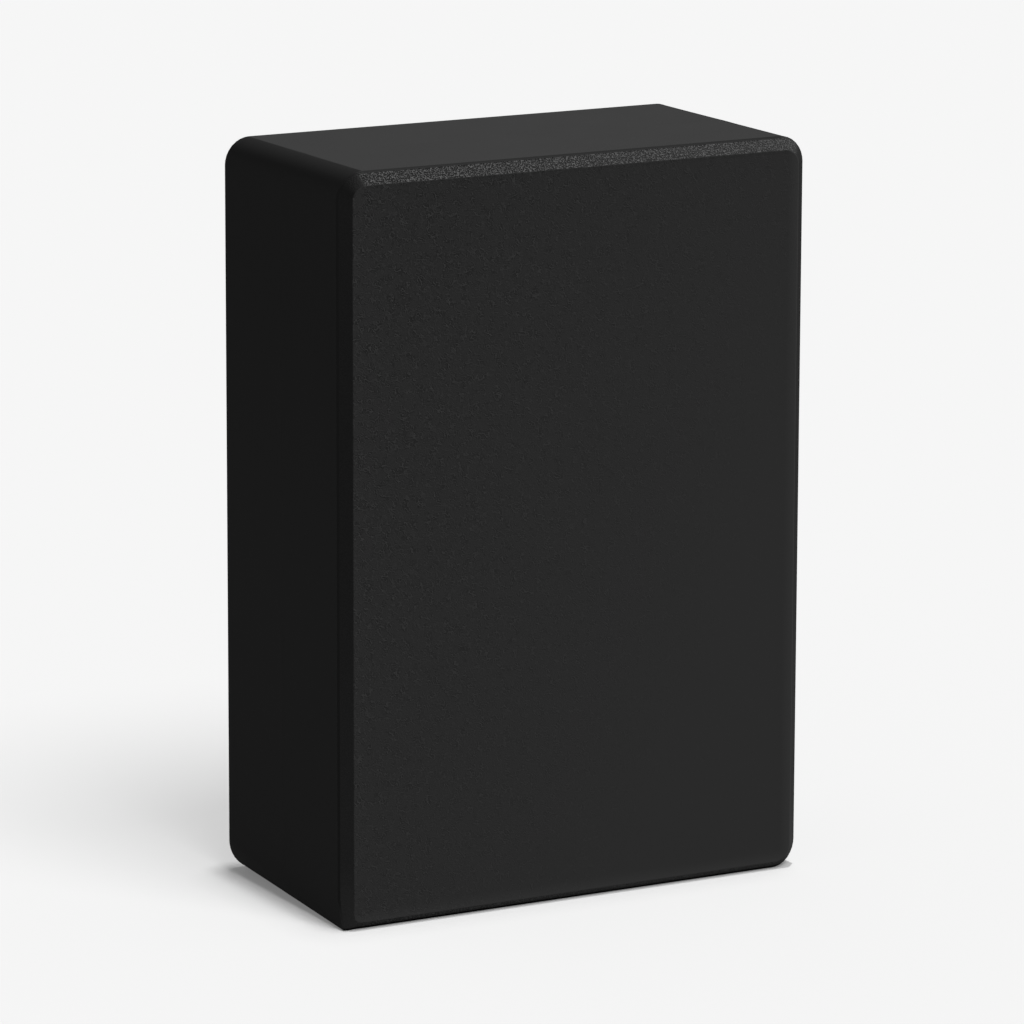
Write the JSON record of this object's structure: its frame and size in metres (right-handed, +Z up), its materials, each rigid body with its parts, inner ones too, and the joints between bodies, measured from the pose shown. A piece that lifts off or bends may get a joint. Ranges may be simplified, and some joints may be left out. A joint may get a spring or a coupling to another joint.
{
  "type": "yoga block",
  "caption": "Firm black foam yoga block: laminated foam slabs bonded by a glue film, rounded corner edges and a bevel round both broad faces, a support that stands on any face.",
  "frame": {"origin": "middle of the short end that the block stands on", "axes": "+Z up along the block's length, +Y from the front broad face to the rear one, +X across the broad faces to the right seen from the front"},
  "size_m": [0.1524, 0.078, 0.22],
  "materials": {
    "foam": "matt closed-cell foam, fine cell grain, cut cells on the bevels",
    "glue": "dried contact adhesive, dull black"
  },
  "bodies": {
    "root": {"front_foam_slab": "foam", "rear_foam_slab": "foam", "glue_film": "glue"}
  },
  "joints": []
}
